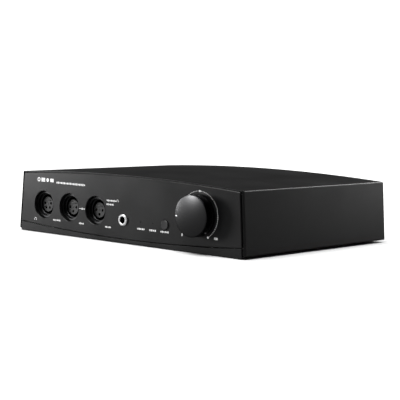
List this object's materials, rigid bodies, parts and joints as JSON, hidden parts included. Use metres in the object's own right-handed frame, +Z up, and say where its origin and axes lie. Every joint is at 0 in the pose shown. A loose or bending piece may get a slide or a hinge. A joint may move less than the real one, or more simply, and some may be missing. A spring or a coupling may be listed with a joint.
{
  "type": "headphone amplifier",
  "caption": "Low desktop balanced headphone amplifier with an arched black metal case, round front sockets, a select button and a large turned volume knob.",
  "frame": {"origin": "middle of the footprint, knob and rear sockets included, on the surface the feet stand on", "axes": "+X to the right seen from the front, +Y from the front panel to the back, +Z up"},
  "size_m": [0.2896, 0.2356, 0.0632],
  "materials": {
    "black_case": "fine satin black anodised",
    "black_panel": "fine bead-blasted satin black",
    "black_steel": "satin black powder coat",
    "zinc_steel": "zinc plated",
    "rubber_foot": "matt black rubber",
    "black_screw": "black oxide",
    "steel_screw": "plain steel",
    "knob_metal": "black anodised, spun face",
    "marker_white": "white inlay",
    "shaft_metal": "turned",
    "dark_plastic": "moulded matt black",
    "button_metal": "black anodised",
    "board_green": "solder-masked glass board",
    "clear_pipe": "smoked clear light pipe",
    "led_body": "moulded lamp",
    "socket_metal": "black chromed die cast shell",
    "insert_plastic": "moulded dark grey",
    "contact_gold": "gold plated",
    "jack_chrome": "bright nickel",
    "ribbon_grey": "flat ribbon cable",
    "coil_wrap": "varnished tape over copper",
    "pad_rubber": "neoprene",
    "capacitor_sleeve": "shrink sleeve",
    "sink_aluminium": "black anodised extrusion",
    "relay_case": "moulded cover",
    "inlet_plastic": "moulded black",
    "pin_nickel": "nickel plated brass",
    "fuse_glass": "clear glass",
    "rocker_plastic": "moulded black",
    "phono_gold": "gold plated",
    "phono_core": "moulded white"
  },
  "bodies": {
    "chassis": {"casing": "black_case", "base_plate": "black_steel", "base_screws": "black_screw", "foot_front_left": "rubber_foot", "foot_front_right": "rubber_foot", "foot_rear_left": "rubber_foot", "foot_rear_right": "rubber_foot", "foot_screws": "steel_screw", "front_panel": "black_panel", "front_trim": "black_panel", "front_bracket": "zinc_steel", "panel_screws": "steel_screw", "bracket_screws": "steel_screw", "xlr4_shell": "socket_metal", "xlr4_insert": "insert_plastic", "left_xlr_shell": "socket_metal", "left_xlr_insert": "insert_plastic", "right_xlr_shell": "socket_metal", "right_xlr_insert": "insert_plastic", "front_xlr_contacts": "contact_gold", "jack_sleeve": "jack_chrome", "jack_body": "dark_plastic", "jack_contacts": "contact_gold", "input_light_pipe": "clear_pipe", "gain_light_pipe": "clear_pipe", "indicator_leds": "led_body", "tact_switch": "dark_plastic", "control_board": "board_green", "ribbon_lead": "ribbon_grey", "pot_body": "zinc_steel", "pot_nut": "steel_screw", "rear_panel": "black_panel", "rear_screws": "black_screw", "inlet_body": "inlet_plastic", "inlet_pins": "pin_nickel", "rocker_frame": "inlet_plastic", "rear_xlr_shells": "socket_metal", "rear_xlr_inserts": "insert_plastic", "rear_xlr_contacts": "contact_gold", "phono_sleeves": "phono_gold", "phono_cores": "phono_core", "phono_block": "dark_plastic", "main_board": "board_green", "board_standoffs": "zinc_steel", "board_screws": "steel_screw", "smoothing_capacitors": "capacitor_sleeve", "heat_sinks": "sink_aluminium", "relays": "relay_case", "transformer_coil": "coil_wrap", "transformer_pads": "pad_rubber", "transformer_plate": "zinc_steel", "transformer_bolt": "steel_screw"},
    "knob": {"volume_knob": "knob_metal", "knob_marker": "marker_white", "knob_grub_screw": "black_screw", "pot_shaft": "shaft_metal"},
    "button": {"select_button": "button_metal"},
    "rocker": {"power_rocker": "rocker_plastic"},
    "drawer": {"fuse_drawer": "inlet_plastic", "fuse": "fuse_glass"}
  },
  "joints": [
    {"name": "volume_turn", "type": "hinge", "parent": "chassis", "child": "knob", "pos_m": [0.0924, -0.10535, 0.03385], "axis": [0, 1, 0], "range_deg": [-57, 243]},
    {"name": "select_press", "type": "slide", "parent": "chassis", "child": "button", "axis": [0, 1, 0], "range_m": [0, 0.0005], "stiffness_N_per_m": 600},
    {"name": "power_rock", "type": "hinge", "parent": "chassis", "child": "rocker", "pos_m": [0.062, 0.10685, 0.0296], "axis": [1, 0, 0], "range_deg": [-20, 0]},
    {"name": "fuse_pull", "type": "slide", "parent": "chassis", "child": "drawer", "axis": [0, 1, 0], "range_m": [0, 0.018]}
  ]
}
